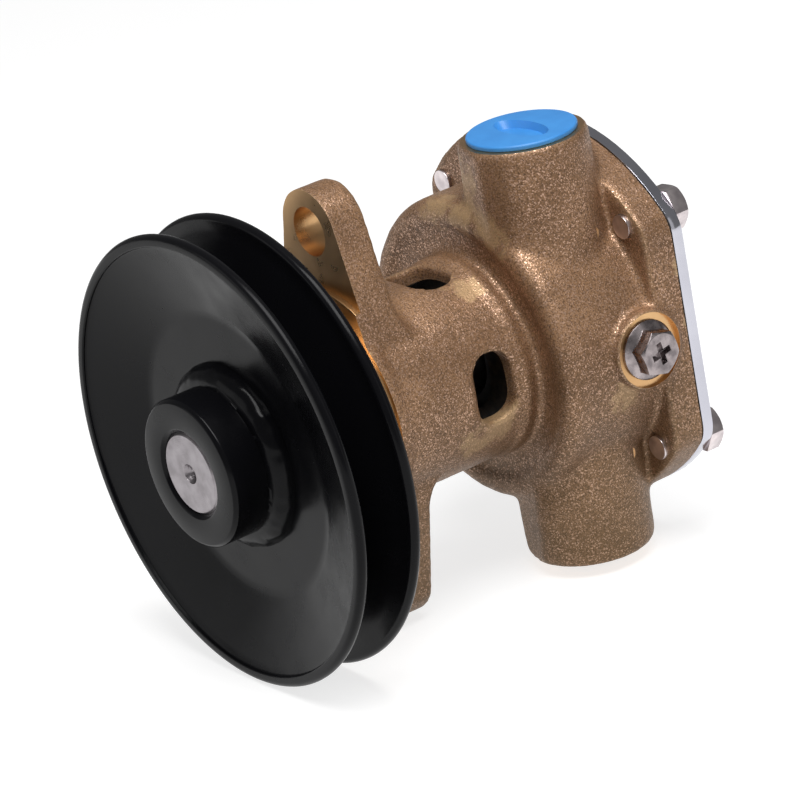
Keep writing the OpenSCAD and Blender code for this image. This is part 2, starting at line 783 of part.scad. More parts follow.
module blade(root_angle) {
    bend = solved_bend(root_angle, 0, max_bend, solver_steps);
    line = [for (s = [0 : blade_steps]) blade_point(root_angle, bend, s, blade_steps)];
    half = [for (s = [0 : blade_steps]) blade_t / 2 * (1 - blade_taper_share * s / blade_steps)];
    head = [for (s = [0 : blade_steps]) root_angle + bend * s / blade_steps];
    left = [for (s = [0 : blade_steps]) line[s] + half[s] * [-sin(head[s]), cos(head[s])]];
    right = [for (s = [0 : blade_steps]) line[s] - half[s] * [-sin(head[s]), cos(head[s])]];
    inner = (rubber_hub_r - blade_t) * [cos(root_angle), sin(root_angle)];
    linear_extrude(impeller_len)
        polygon(concat([inner], left, [for (s = [blade_steps : -1 : 0]) right[s]]));
    translate(line[blade_steps]) cylinder(r = tip_r, h = impeller_len, $fn = small_fn);
}

module impeller() {
    color("#1d1d1f") along_y(impeller_y) difference() {
        union() {
            cylinder(r = rubber_hub_r, h = impeller_len);
            for (i = [0 : blade_count - 1]) blade(360 / blade_count * (i + 0.5));
        }
        translate([0, 0, -overrun])
            cylinder(r = bush_r + seat_gap, h = impeller_len + 2 * overrun);
    }
}

module impeller_bush() {
    color("#a98a52") difference() {
        ring(bush_r, wet_r + seat_gap, impeller_y, impeller_len);
        pin_hole(drive_pin_d / 2, 2 * bush_r + 2 * overrun);
    }
}

// Push-in cap: a rim on the port's face, a hollow plug below and an oval dish on top
cap_plug_len = 9;
cap_wall = 1.4;
cap_floor = 2;
cap_taper = 0.5;
cap_edge_r = 0.6;
cap_dish_len = 17;
cap_dish_w = 8;
cap_dish_depth = 1;

module port_cap() {
    plug_r = port_r - running_gap;
    color("#3f9ae0") translate([port_x, port_y, port_reach]) difference() {
        rotate_extrude() polygon(concat(
            [[0, -cap_floor], [plug_r - cap_wall, -cap_floor],
             [plug_r - cap_wall - cap_taper, -cap_plug_len], [plug_r - cap_taper, -cap_plug_len],
             [plug_r, 0], [cap_d / 2, 0]],
            arc_points(cap_d / 2 - cap_edge_r, cap_rim_t - cap_edge_r, cap_edge_r, 0, 90,
                fillet_steps),
            [[0, cap_rim_t]]));
        translate([0, 0, cap_rim_t - cap_dish_depth])
            linear_extrude(cap_dish_depth + overrun) {
                square([cap_dish_len - cap_dish_w, cap_dish_w], center = true);
                for (end = [-1, 1])
                    translate([end * (cap_dish_len - cap_dish_w) / 2, 0])
                        circle(d = cap_dish_w, $fn = small_fn);
            }
    }
}

pump_body();
cover_plate();
cover_gasket();
cover_bolts();
cam_plate();
cam_screw();
wear_plate();
water_seal();
front_bearing_outer();
front_bearing_inner();
front_bearing_balls();
front_bearing_shield();
rear_bearing_outer();
rear_bearing_inner();
rear_bearing_balls();
rear_bearing_shield();
bearing_spacer();
nose_circlip();
shaft_circlip();
slinger();
shaft();
pulley_key();
drive_pin();
pulley_front_disc();
pulley_rear_disc();
pulley_hub();
pulley_welds();
impeller_bush();
impeller();
port_cap();
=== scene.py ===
import math

import bmesh
import bpy
from mathutils import Matrix, Vector, noise


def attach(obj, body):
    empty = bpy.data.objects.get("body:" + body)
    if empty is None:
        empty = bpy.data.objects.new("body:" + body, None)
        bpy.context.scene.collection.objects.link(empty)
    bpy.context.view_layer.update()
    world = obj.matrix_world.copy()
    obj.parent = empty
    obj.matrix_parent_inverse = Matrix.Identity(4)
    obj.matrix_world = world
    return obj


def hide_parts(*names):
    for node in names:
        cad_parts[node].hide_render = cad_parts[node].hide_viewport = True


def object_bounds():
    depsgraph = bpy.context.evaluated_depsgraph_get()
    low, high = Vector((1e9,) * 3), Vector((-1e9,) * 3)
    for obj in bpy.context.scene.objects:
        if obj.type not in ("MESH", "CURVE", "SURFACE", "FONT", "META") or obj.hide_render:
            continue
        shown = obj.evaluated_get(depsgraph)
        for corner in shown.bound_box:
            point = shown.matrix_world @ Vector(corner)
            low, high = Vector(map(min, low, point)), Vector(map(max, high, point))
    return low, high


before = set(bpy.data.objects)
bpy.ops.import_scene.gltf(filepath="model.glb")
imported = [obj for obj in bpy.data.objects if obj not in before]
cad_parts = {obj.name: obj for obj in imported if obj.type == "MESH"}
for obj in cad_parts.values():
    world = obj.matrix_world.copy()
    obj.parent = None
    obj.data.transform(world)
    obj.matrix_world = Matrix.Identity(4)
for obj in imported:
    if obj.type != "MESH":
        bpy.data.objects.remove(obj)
cad_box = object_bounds()

# The floor is a plain pale sheet under the pulley's lowest point. It is not part of the object.
floor_gap = 0.0005
floor_half = 1.5
paper_brightness = 0.75
floor_mesh = bmesh.new()
bmesh.ops.create_grid(floor_mesh, x_segments=1, y_segments=1, size=floor_half)
bmesh.ops.translate(floor_mesh, vec=(0, 0, cad_box[0][2] - floor_gap), verts=floor_mesh.verts)
floor_data = bpy.data.meshes.new("floor")
floor_mesh.to_mesh(floor_data)
floor = bpy.data.objects.new("floor", floor_data)
bpy.context.scene.collection.objects.link(floor)
floor_paper = bpy.data.materials.new("floor_paper")
floor_paper.use_nodes = True
paper_shader = floor_paper.node_tree.nodes["Principled BSDF"]
paper_shader.inputs["Base Color"].default_value = (0.4, 0.4, 0.4, 1)
paper_shader.inputs["Emission Color"].default_value = (1, 1, 1, 1)
light_path = floor_paper.node_tree.nodes.new("ShaderNodeLightPath")
seen = floor_paper.node_tree.nodes.new("ShaderNodeMath")
seen.operation = "MAXIMUM"
mirrored = floor_paper.node_tree.nodes.new("ShaderNodeMath")
mirrored.operation = "MAXIMUM"
paper_glow = floor_paper.node_tree.nodes.new("ShaderNodeMath")
paper_glow.operation = "MULTIPLY"
paper_glow.inputs[1].default_value = paper_brightness
for start, end in ((light_path.outputs["Is Camera Ray"], seen.inputs[0]),
                   (light_path.outputs["Is Glossy Ray"], seen.inputs[1]),
                   (seen.outputs["Value"], mirrored.inputs[0]),
                   (light_path.outputs["Is Transmission Ray"], mirrored.inputs[1]),
                   (mirrored.outputs["Value"], paper_glow.inputs[0]),
                   (paper_glow.outputs["Value"], paper_shader.inputs["Emission Strength"])):
    floor_paper.node_tree.links.new(start, end)
floor_data.materials.append(floor_paper)

# The camera stands to the front right of the pulley and a little above it, and leans a little.
camera_turn = math.radians(56.93)
camera_rise = math.radians(20.42)
camera_lean = math.radians(-10.49)
camera_distance = 1.1
camera_target = Vector((0.00564, 0.0123, -0.00118))
away = Vector((math.sin(camera_turn) * math.cos(camera_rise),
               -math.cos(camera_turn) * math.cos(camera_rise),
               math.sin(camera_rise)))
level_right = Vector((math.cos(camera_turn), math.sin(camera_turn), 0))
level_up = away.cross(level_right)
right = level_right * math.cos(camera_lean) + level_up * math.sin(camera_lean)
up = level_up * math.cos(camera_lean) - level_right * math.sin(camera_lean)
camera_data = bpy.data.cameras.new("camera")
camera_data.lens = 212.77
camera_data.sensor_width = 36
camera = bpy.data.objects.new("camera", camera_data)
camera.matrix_world = Matrix((
    (right.x, up.x, away.x, 0), (right.y, up.y, away.y, 0), (right.z, up.z, away.z, 0), (0, 0, 0, 1)))
camera.location = camera_target + away * camera_distance
bpy.context.scene.collection.objects.link(camera)
bpy.context.scene.camera = camera

# Soft studio light: one large lamp above, a weak one to the side and one in front, in a pale room.
def softbox(name, direction, distance, size, power):
    lamp_data = bpy.data.lights.new(name, "AREA")
    lamp_data.shape = "RECTANGLE"
    lamp_data.size, lamp_data.size_y = size
    lamp_data.energy = power
    lamp = bpy.data.objects.new(name, lamp_data)
    towards = Vector(direction).normalized()
    lamp.rotation_euler = towards.to_track_quat("Z", "Y").to_euler()
    lamp.location = towards * distance
    bpy.context.scene.collection.objects.link(lamp)

softbox("key_light", (0.35, -0.1, 1.0), 0.9, (0.6, 0.6), 10)
softbox("side_light", (1.0, 0.3, 0.25), 1.0, (0.5, 0.8), 0.5)
softbox("front_light", (-0.5, -1.0, 0.3), 1.0, (0.6, 0.6), 0.9)

world = bpy.data.worlds.new("studio")
world.use_nodes = True
bpy.context.scene.world = world
background = world.node_tree.nodes["Background"]
background.inputs["Color"].default_value = (1, 1, 1, 1)
background.inputs["Strength"].default_value = 0.2
bpy.context.scene.view_settings.view_transform = "Standard"

# The body is one sand casting in bronze, blasted after casting: barrel, chamber, two port bosses, ears
# and flange. Its ear faces, cover seat, port faces and bores are turned and drilled afterwards, so
# the casting is made a little too large there and the machining cuts it back to size.
mm = 0.001
port_centre = Vector((12.6, 54.4, 0)) * mm
port_face_z = 52
screw_centre = Vector((0, 61.5, 0)) * mm
ear_hole_z, ear_hole_r = 44, 6
bolt_shift, bolt_half_x, bolt_half_z = -4.5, 34.8, 27.9
bolt_centres = [Vector((bolt_shift + side * bolt_half_x, 0, height * bolt_half_z)) * mm
                for side in (-1, 1) for height in (-1, 1)]
along_shaft = Matrix.Rotation(math.radians(-90), 4, "X")
along_cam = Matrix.Rotation(math.radians(90), 4, "Y")


def copied(node):
    shape = bmesh.new()
    shape.from_mesh(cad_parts[node].data)
    bmesh.ops.remove_doubles(shape, verts=shape.verts, dist=0.002 * mm)
    return shape


def rod(shape, centre, lie, radius, start, end, sides=64):
    placed = Matrix.Translation(centre) @ lie @ Matrix.Translation((0, 0, (start + end) / 2 * mm))
    bmesh.ops.create_cone(shape, cap_ends=True, segments=sides, radius1=radius * mm, radius2=radius * mm,
                          depth=(end - start) * mm, matrix=placed)


def spun(profile, placed, rounded=(), steps=96):
    shape = bmesh.new()
    points = [shape.verts.new((radius * mm, 0, height * mm)) for radius, height in profile]
    for first, second in zip(points, points[1:] + points[:1]):
        shape.edges.new((first, second))
    for index, reach in rounded:
        bmesh.ops.bevel(shape, geom=[points[index]], offset=reach * mm, offset_type="OFFSET", segments=6,
                        profile=0.5, affect="VERTICES", material=-1)
    bmesh.ops.spin(shape, geom=shape.verts[:] + shape.edges[:], cent=(0, 0, 0), axis=(0, 0, 1),
                   angle=math.tau, steps=steps, use_merge=True)
    bmesh.ops.remove_doubles(shape, verts=shape.verts, dist=0.002 * mm)
    bmesh.ops.recalc_face_normals(shape, faces=shape.faces)
    bmesh.ops.transform(shape, matrix=placed, verts=shape.verts)
    return shape


def as_object(name, shape, crease=32):
    for face in shape.faces:
        face.smooth = True
    for edge in shape.edges:
        edge.smooth = edge.calc_face_angle(0) < math.radians(crease)
    mesh = bpy.data.meshes.new(name)
    shape.to_mesh(mesh)
    shape.free()
    made = bpy.data.objects.new(name, mesh)
    bpy.context.scene.collection.objects.link(made)
    return made


def fitted(piece, finishes, body, slot, *nodes):
    for finish in finishes:
        piece.data.materials.append(finish)
    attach(piece, body)
    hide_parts(*nodes)
    return piece


def shader_node(finish, kind, inputs=None, **settings):
    made = finish.node_tree.nodes.new("ShaderNode" + kind)
    for setting, value in settings.items():
        setattr(made, setting, value)
    for name, value in (inputs or {}).items():
        if isinstance(value, bpy.types.NodeSocket):
            finish.node_tree.links.new(value, made.inputs[name])
        else:
            made.inputs[name].default_value = value
    return made


def new_finish(name, colour, metallic, roughness):
    finish = bpy.data.materials.new(name)
    finish.use_nodes = True
    shader = finish.node_tree.nodes["Principled BSDF"]
    shader.inputs["Base Color"].default_value = (*colour, 1)
    shader.inputs["Metallic"].default_value = metallic
    shader.inputs["Roughness"].default_value = roughness
    return finish, shader, shader_node(finish, "TexCoord").outputs["Object"]


def speckle(finish, place, size, detail=2.0):
    cloud = shader_node(finish, "TexNoise", {"Vector": place, "Scale": 1 / (size * mm), "Detail": detail})
    return cloud.outputs["Fac"]


def span(finish, value, from_low, from_high, to_low, to_high):
    return shader_node(finish, "MapRange", {"Value": value, "From Min": from_low, "From Max": from_high,
                                            "To Min": to_low, "To Max": to_high}).outputs["Result"]


def tinted(finish, share, first, second):
    mix = shader_node(finish, "Mix", data_type="RGBA")
    links = finish.node_tree.links
    for socket, value in ((mix.inputs[0], share), (mix.inputs[6], first), (mix.inputs[7], second)):
        if isinstance(value, bpy.types.NodeSocket):
            links.new(value, socket)
        else:
            socket.default_value = (*value, 1)
    return mix.outputs[2]


def relief(finish, shader, height, depth, strength=1.0):
    bump = shader_node(finish, "Bump", {"Height": height, "Distance": depth * mm, "Strength": strength})
    finish.node_tree.links.new(bump.outputs["Normal"], shader.inputs["Normal"])


def feed(finish, shader, name, value):
    finish.node_tree.links.new(value, shader.inputs[name])


def patch(finish, place, centre, reach, wobble):
    apart = shader_node(finish, "VectorMath", {0: place, 1: [value * mm for value in centre]},
                        operation="DISTANCE")
    ragged = shader_node(finish, "Math", {0: apart.outputs["Value"], 1: wobble}, operation="ADD")
    return span(finish, ragged.outputs["Value"], reach * mm, reach * 0.55 * mm, 0, 1)


register_y, cover_seat_y = -1.5, 74
face_stock, port_stock, screw_stock = 2, 0.7, 1.5
close = 0.02
raw = copied("pump_body")
for vert in raw.verts:
    x, y, z = vert.co / mm
    at_port_face = abs(z) > 49.5 and y > 30
    at_screw_seat = x > 37.5 and abs(z) < 9.7 and y > 50
    if abs(y) < close or abs(y - register_y) < close:
        vert.co.y -= face_stock * mm
    if y > cover_seat_y - close:
        vert.co.y += face_stock * mm
    if at_port_face:
        vert.co.z += math.copysign(port_stock * mm, z)
    if at_screw_seat:
        vert.co.x += screw_stock * mm
origin = Vector((0, 0, 0))
rod(raw, origin, along_shaft, 25.3, -13, 1)
rod(raw, origin, along_shaft, 21.5, -12.5, 18.6)
rod(raw, origin, along_shaft, 17.6, 10, 36)
rod(raw, origin, along_shaft, 14.6, 30, 44)
rod(raw, origin, along_shaft, 33.3, 42.2, 75.9)
for turn in (0, 180):
    upright = Matrix.Rotation(math.radians(turn), 4, "X")
    rod(raw, port_centre, upright, 10.4, 20, 52.5)
    rod(raw, upright @ Vector((0, 0, ear_hole_z * mm)), along_shaft, ear_hole_r + 1, -1.9, 9.4)
for centre in bolt_centres:
    rod(raw, centre, along_shaft, 3.7, 66, 75.9)
rod(raw, screw_centre, along_cam, 3.7, 28, 39)
sand_mould = as_object("sand_mould", raw)
skin = sand_mould.modifiers.new("skin", "REMESH")
skin.mode = "VOXEL"
skin.voxel_size = 0.8 * mm
softening = sand_mould.modifiers.new("softening", "SMOOTH")
softening.factor = 0.5
softening.iterations = 8
sand = bpy.data.textures.new("sand", "CLOUDS")
sand.noise_scale = 5 * mm
unevenness = sand_mould.modifiers.new("unevenness", "DISPLACE")
unevenness.texture = sand
unevenness.texture_coords = "LOCAL"
unevenness.strength = 0.25 * mm
unevenness.mid_level = 0.5

ear_face_cut = [(0, -24), (72, -24), (72, 0), (30.5, 0), (30.5, register_y), (24.5, register_y), (24.5, -11),
                (23.5, -12), (0, -12)]
cover_seat_cut = [(0, cover_seat_y), (70, cover_seat_y), (70, 82), (0, 82)]
bore_cut = [(0, -14), (21.8, -14), (21, -11.4), (21, -10.4), (21.8, -10.4), (21.8, -8.75), (21, -8.75),
            (21, 18.25), (20.6, 18.25), (20.6, 33.8), (12.6, 33.8), (12.6, 35.2), (14, 35.2), (14, 43),
            (32.5, 43), (32.5, 76), (0, 76)]
port_cut = [(0, 20), (7.75, 20), (7.75, 37), (9.3, 37), (9.3, 51.2), (10.1, port_face_z), (24, port_face_z),
            (24, 60), (0, 60)]
screw_cut = [(0, 27), (3.02, 27), (3.02, 37.6), (9.0, 37.6), (9.0, 44), (0, 44)]
tools = [spun(ear_face_cut, along_shaft, [(4, 0.3)]), spun(cover_seat_cut, along_shaft),
         spun(bore_cut, along_shaft)]
for turn in (0, 180):
    upright = Matrix.Rotation(math.radians(turn), 4, "X")
    tools.append(spun(port_cut, Matrix.Translation(port_centre) @ upright))
small_tools = bmesh.new()
for turn in (0, 180):
    upright = Matrix.Rotation(math.radians(turn), 4, "X")
    rod(small_tools, upright @ Vector((0, 0, ear_hole_z * mm)), along_shaft, ear_hole_r, -6, 14)
for centre in bolt_centres:
    rod(small_tools, centre, along_shaft, 3.02, 60, 80, 32)
tools.append(small_tools)
tools.append(spun(screw_cut, Matrix.Translation(screw_centre) @ along_cam, steps=48))
cutters = []
for tool in tools:
    for face in tool.faces:
        face.material_index = 1
    cutter = as_object("cutter", tool)
    cutters.append(cutter)
    cutting = sand_mould.modifiers.new("cutting", "BOOLEAN")
    cutting.operation = "DIFFERENCE"
    cutting.solver = "MANIFOLD"
    cutting.object = cutter

cast_bronze, bronze_shader, bronze_place = new_finish("cast_bronze", (0.3, 0.2, 0.1), 0.65, 0.5)
broad = speckle(cast_bronze, bronze_place, 14, 3)
grain = speckle(cast_bronze, bronze_place, 0.42, 2)
cells = shader_node(cast_bronze, "TexVoronoi", {"Vector": bronze_place, "Scale": 1 / (0.28 * mm)})
glints = shader_node(cast_bronze, "SeparateColor", {"Color": cells.outputs["Color"]}).outputs["Red"]
tone = tinted(cast_bronze, span(cast_bronze, broad, 0.35, 0.65, 0, 1),
              (0.235, 0.125, 0.06), (0.365, 0.203, 0.104))
tone = tinted(cast_bronze, span(cast_bronze, grain, 0.42, 0.66, 0, 0.85), tone, (0.1, 0.052, 0.024))
# Painted glints: bright pinkish specks are mixed into the base colour, standing in for light sparkling off
# the grains.
tone = tinted(cast_bronze, span(cast_bronze, glints, 0.7, 1.0, 0, 0.6), tone, (0.85, 0.56, 0.42))
edge_wear = shader_node(cast_bronze, "NewGeometry").outputs["Pointiness"]
tone = tinted(cast_bronze, span(cast_bronze, edge_wear, 0.52, 0.6, 0, 0.5), tone, (0.62, 0.43, 0.24))
# Painted sheen: bright yellow patches with ragged edges are mixed into the casting's colour at these spots,
# where the light catches it.
ragged_edge = span(cast_bronze, speckle(cast_bronze, bronze_place, 3.5, 3), 0.3, 0.7, -2.5 * mm, 2.5 * mm)
painted_sheen_spots = (((22.6, 27.2, -9.8), 6.5), ((20.5, 20.5, -12), 5), ((12.2, 31.6, 21.2), 4.5),
               ((-6, 37.5, 36.5), 7), ((4.5, 38, 36.2), 6), ((15, 38.5, 32.5), 6), ((35.3, 55, -9.5), 5),
               ((6, 42, 43), 6))
painted_sheen = 0.0
for centre, reach in painted_sheen_spots:
    sheen_patch = patch(cast_bronze, bronze_place, centre, reach, ragged_edge)
    painted_sheen = shader_node(cast_bronze, "Math", {0: painted_sheen, 1: sheen_patch}, operation="MAXIMUM").outputs["Value"]
painted_sheen = span(cast_bronze, painted_sheen, 0, 1, 0, 0.5)
tone = tinted(cast_bronze, painted_sheen, tone, (0.62, 0.42, 0.22))
# Painted shade: the casting is darkened and turned olive towards the bottom, where less light falls.
depth = shader_node(cast_bronze, "SeparateXYZ", {"Vector": bronze_place}).outputs["Z"]
tone = tinted(cast_bronze, span(cast_bronze, depth, 8 * mm, -42 * mm, 0, 0.4), tone, (0.15, 0.1, 0.042))
feed(cast_bronze, bronze_shader, "Base Color", tone)
feed(cast_bronze, bronze_shader, "Metallic", span(cast_bronze, glints, 0.7, 1.0, 0.35, 0.9))
feed(cast_bronze, bronze_shader, "Roughness", span(cast_bronze, glints, 0.8, 1.0, 0.5, 0.32))
relief(cast_bronze, bronze_shader, grain, 0.16, 0.8)

turned_bronze, turned_shader, turned_place = new_finish("turned_bronze", (0.6, 0.41, 0.2), 1, 0.3)
tool_marks = shader_node(
    turned_bronze, "TexWave",
    {"Vector": turned_place, "Scale": 900.0, "Distortion": 1.5, "Detail": 2.0, "Detail Scale": 3.0},
    wave_type="RINGS", rings_direction="Y").outputs["Fac"]
feed(turned_bronze, turned_shader, "Base Color",
     tinted(turned_bronze, span(turned_bronze, speckle(turned_bronze, turned_place, 12), 0.3, 0.7, 0, 1),
            (0.72, 0.45, 0.22), (0.6, 0.36, 0.17)))
feed(turned_bronze, turned_shader, "Roughness",
     span(turned_bronze, speckle(turned_bronze, turned_place, 5), 0.3, 0.7, 0.26, 0.36))
relief(turned_bronze, turned_shader, tool_marks, 0.02, 0.12)

# Painted shade: a near-black finish for the turned bore faces inside the barrel, standing in for the shadow
# there.
painted_shade_cavity, shade_cavity_shader, shade_cavity_place = new_finish("painted_shade_cavity", (0.02, 0.014, 0.009), 0.4, 0.4)
feed(painted_shade_cavity, shade_cavity_shader, "Base Color",
     tinted(painted_shade_cavity, span(painted_shade_cavity, speckle(painted_shade_cavity, shade_cavity_place, 2), 0.4, 0.7, 0, 1),
            (0.012, 0.009, 0.006), (0.05, 0.032, 0.018)))
relief(painted_shade_cavity, shade_cavity_shader, speckle(painted_shade_cavity, shade_cavity_place, 0.8), 0.08, 0.5)

sand_mould.data.materials.append(cast_bronze)
sand_mould.data.materials.append(turned_bronze)
for cutter in cutters:
    cutter.data.materials.append(cast_bronze)
    cutter.data.materials.append(turned_bronze)
finished_mesh = bpy.data.meshes.new_from_object(
    sand_mould.evaluated_get(bpy.context.evaluated_depsgraph_get()))
finished_shape = bmesh.new()
finished_shape.from_mesh(finished_mesh)
# The turned bore faces seen through the windows get the painted shade finish.
for face in finished_shape.faces:
    x, y, z = face.calc_center_median() / mm
    if face.material_index == 1 and 18 < y < 35 and math.hypot(x, z) < 21.5:
        face.material_index = 2
for spent in (sand_mould, *cutters):
    bpy.data.objects.remove(spent)
body_casting = as_object("body_casting", finished_shape)
fitted(body_casting, [cast_bronze, turned_bronze, painted_shade_cavity], "housing", "cast_bronze", "pump_body")


# Wear plate, cam and lip seal line the pump chamber: a steel disc at its bottom, a turned bronze
# crescent on its wall and a rubber seal pressed into the seat below.
def refinished(finish, *nodes):
    for name in nodes:
        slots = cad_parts[name].data.materials
        for index in range(len(slots)):
            slots[index] = finish


ground_steel, ground_shader, ground_place = new_finish("ground_steel", (0.6, 0.61, 0.63), 1, 0.25)
ground_marks = shader_node(
    ground_steel, "TexWave", {"Vector": ground_place, "Scale": 1200.0, "Distortion": 2.0},
    wave_type="RINGS", rings_direction="Y").outputs["Fac"]
feed(ground_steel, ground_shader, "Roughness",
     span(ground_steel, speckle(ground_steel, ground_place, 3), 0.3, 0.7, 0.18, 0.34))
relief(ground_steel, ground_shader, ground_marks, 0.01, 0.4)
refinished(ground_steel, "wear_plate")
refinished(turned_bronze, "cam_plate")

black_rubber, rubber_shader, rubber_place = new_finish("black_rubber", (0.022, 0.022, 0.024), 0, 0.62)
feed(black_rubber, rubber_shader, "Roughness",
     span(black_rubber, speckle(black_rubber, rubber_place, 3), 0.3, 0.7, 0.5, 0.75))
relief(black_rubber, rubber_shader, speckle(black_rubber, rubber_place, 0.3), 0.02, 0.5)
refinished(black_rubber, "water_seal")


# The cam screw is a flanged hexagon screw in bright steel; the real one has a dished head and a cross recess,
# and here the part file's screw is used with its edges eased, with no dish or recess cut into it.
def eased(node, reach, segments=2, above=28):
    shape = copied(node)
    bmesh.ops.dissolve_limit(shape, angle_limit=math.radians(0.5), verts=shape.verts, edges=shape.edges)
    sharp = [edge for edge in shape.edges if edge.calc_face_angle(0) > math.radians(above)]
    bmesh.ops.bevel(shape, geom=sharp, offset=reach * mm, offset_type="OFFSET", segments=segments,
                    profile=0.5, affect="EDGES", clamp_overlap=True, material=-1)
    bmesh.ops.triangulate(shape, faces=[face for face in shape.faces if len(face.verts) > 4])
    return shape


screw_steel, screw_shader, screw_place = new_finish("screw_steel", (0.66, 0.62, 0.61), 1, 0.28)
feed(screw_steel, screw_shader, "Base Color",
     tinted(screw_steel, span(screw_steel, speckle(screw_steel, screw_place, 2.5), 0.35, 0.65, 0, 1),
            (0.4, 0.35, 0.352), (0.2, 0.175, 0.18)))
feed(screw_steel, screw_shader, "Roughness",
     span(screw_steel, speckle(screw_steel, screw_place, 1.2), 0.3, 0.7, 0.2, 0.38))
relief(screw_steel, screw_shader, speckle(screw_steel, screw_place, 0.5), 0.02, 0.4)
cam_screw_piece = as_object("flanged_cam_screw", eased("cam_screw", 0.12), 20)
fitted(cam_screw_piece, [screw_steel], "housing", "bolt_steel", "cam_screw")


# Two ball bearings carry the shaft in the barrel: ground rings, brass cages with steel balls, rubber
# shields, a spacer between the inner rings, and a circlip at each end.
refinished(ground_steel, "front_bearing_outer", "front_bearing_inner", "rear_bearing_outer",
           "rear_bearing_inner", "bearing_spacer")
refinished(black_rubber, "front_bearing_shield", "rear_bearing_shield")
cage_brass, cage_shader, cage_place = new_finish("cage_brass", (0.62, 0.5, 0.28), 1, 0.3)
feed(cage_brass, cage_shader, "Roughness",
     span(cage_brass, speckle(cage_brass, cage_place, 1), 0.3, 0.7, 0.2, 0.4))
refinished(cage_brass, "front_bearing_balls", "rear_bearing_balls")
spring_steel, spring_shader, spring_place = new_finish("spring_steel", (0.16, 0.17, 0.18), 1, 0.35)
feed(spring_steel, spring_shader, "Roughness",
     span(spring_steel, speckle(spring_steel, spring_place, 1), 0.3, 0.7, 0.26, 0.46))
refinished(spring_steel, "nose_circlip", "shaft_circlip")


# The shaft is turned steel with a centre hole in its end. A rubber slinger sits on it behind the
# windows, and a key and a cross pin lock the pulley and the impeller to it.
shaft_steel, shaft_shader, shaft_place = new_finish("shaft_steel", (0.62, 0.6, 0.59), 1, 0.34)
facing_marks = shader_node(
    shaft_steel, "TexWave", {"Vector": shaft_place, "Scale": 700.0, "Distortion": 2.5, "Detail": 2.0},
    wave_type="RINGS", rings_direction="Y").outputs["Fac"]
feed(shaft_steel, shaft_shader, "Base Color",
     tinted(shaft_steel, span(shaft_steel, speckle(shaft_steel, shaft_place, 3), 0.3, 0.7, 0, 1),
            (0.34, 0.315, 0.33), (0.24, 0.22, 0.23)))
relief(shaft_steel, shaft_shader, facing_marks, 0.03, 0.6)
refinished(shaft_steel, "shaft")
refinished(ground_steel, "pulley_key", "drive_pin")
refinished(black_rubber, "slinger")


# The impeller is moulded rubber round a bronze bush; the cam bends its blades.
impeller_rubber, impeller_shader, impeller_place = new_finish("impeller_rubber", (0.018, 0.018, 0.02), 0, 0.5)
relief(impeller_rubber, impeller_shader, speckle(impeller_rubber, impeller_place, 0.4), 0.02, 0.5)
feed(impeller_rubber, impeller_shader, "Roughness",
     span(impeller_rubber, speckle(impeller_rubber, impeller_place, 4), 0.3, 0.7, 0.4, 0.6))
impeller_piece = as_object("moulded_impeller", eased("impeller", 0.15, above=50))
fitted(impeller_piece, [impeller_rubber], "rotor", "impeller_rubber", "impeller")
refinished(turned_bronze, "impeller_bush")


# A paper gasket and a polished steel plate close the chamber, held by four hexagon bolts whose tips
# come out at the front of the flange.
gasket_paper, gasket_shader, gasket_place = new_finish("gasket_paper", (0.05, 0.045, 0.04), 0, 0.8)
feed(gasket_paper, gasket_shader, "Roughness",
     span(gasket_paper, speckle(gasket_paper, gasket_place, 1), 0.3, 0.7, 0.7, 0.9))
refinished(gasket_paper, "cover_gasket")

cover_steel, cover_shader, cover_place = new_finish("cover_steel", (0.6, 0.6, 0.66), 1, 0.12)
streak_place = shader_node(cover_steel, "Mapping",
                           {"Vector": cover_place, "Scale": (1, 0.15, 1)}).outputs["Vector"]
feed(cover_steel, cover_shader, "Base Color",
     tinted(cover_steel, span(cover_steel, speckle(cover_steel, streak_place, 16, 4), 0.3, 0.7, 0, 1),
            (0.6, 0.6, 0.66), (0.5, 0.5, 0.56)))
feed(cover_steel, cover_shader, "Roughness",
     span(cover_steel, speckle(cover_steel, cover_place, 12, 4), 0.35, 0.7, 0.07, 0.22))
relief(cover_steel, cover_shader, speckle(cover_steel, cover_place, 8), 0.05, 0.15)
cover_piece = as_object("polished_cover", eased("cover_plate", 0.35, 3), 20)
fitted(cover_piece, [cover_steel], "housing", "cover_steel", "cover_plate")
bolt_steel, bolt_shader, bolt_place = new_finish("bolt_steel", (0.7, 0.63, 0.63), 1, 0.3)
feed(bolt_steel, bolt_shader, "Base Color",
     tinted(bolt_steel, span(bolt_steel, speckle(bolt_steel, bolt_place, 3), 0.35, 0.65, 0, 1),
            (0.8, 0.72, 0.72), (0.55, 0.49, 0.5)))
relief(bolt_steel, bolt_shader, speckle(bolt_steel, bolt_place, 0.6), 0.02, 0.3)
bolt_piece = as_object("hexagon_cover_bolts", eased("cover_bolts", 0.15), 20)
fitted(bolt_piece, [bolt_steel], "housing", "bolt_steel", "cover_bolts")


# The pulley is two sheet steel pressings back to back on a turned hub. Each pressing has a flat web,
# a cone for the belt and a rolled rim, and both are welded to the hub. All of it is painted black.
pulley_place_y = -28.4
web_bore_r, web_t = 18.02, 2
front_side = Matrix.Translation((0, pulley_place_y * mm, 0)) @ Matrix.Rotation(math.radians(90), 4, "X")
rear_side = Matrix.Translation((0, pulley_place_y * mm, 0)) @ along_shaft
disc_profile = [(web_bore_r, 0), (32.4, 0), (34.5, 0), (36.5, 0.66), (50.5, 5.29), (52.5, 5.95), (55, 6),
                (55, 8.8), (52.2, 8.8), (52.2, 7.97), (50.2, 7.31), (36.3, 2.69), (34.22, web_t),
                (32.1, web_t), (25, web_t), (web_bore_r, web_t)]
disc_rounding = [(2, 1.2), (6, 1.39), (7, 1.39), (8, 0.4), (9, 0.35), (12, 1.2)]

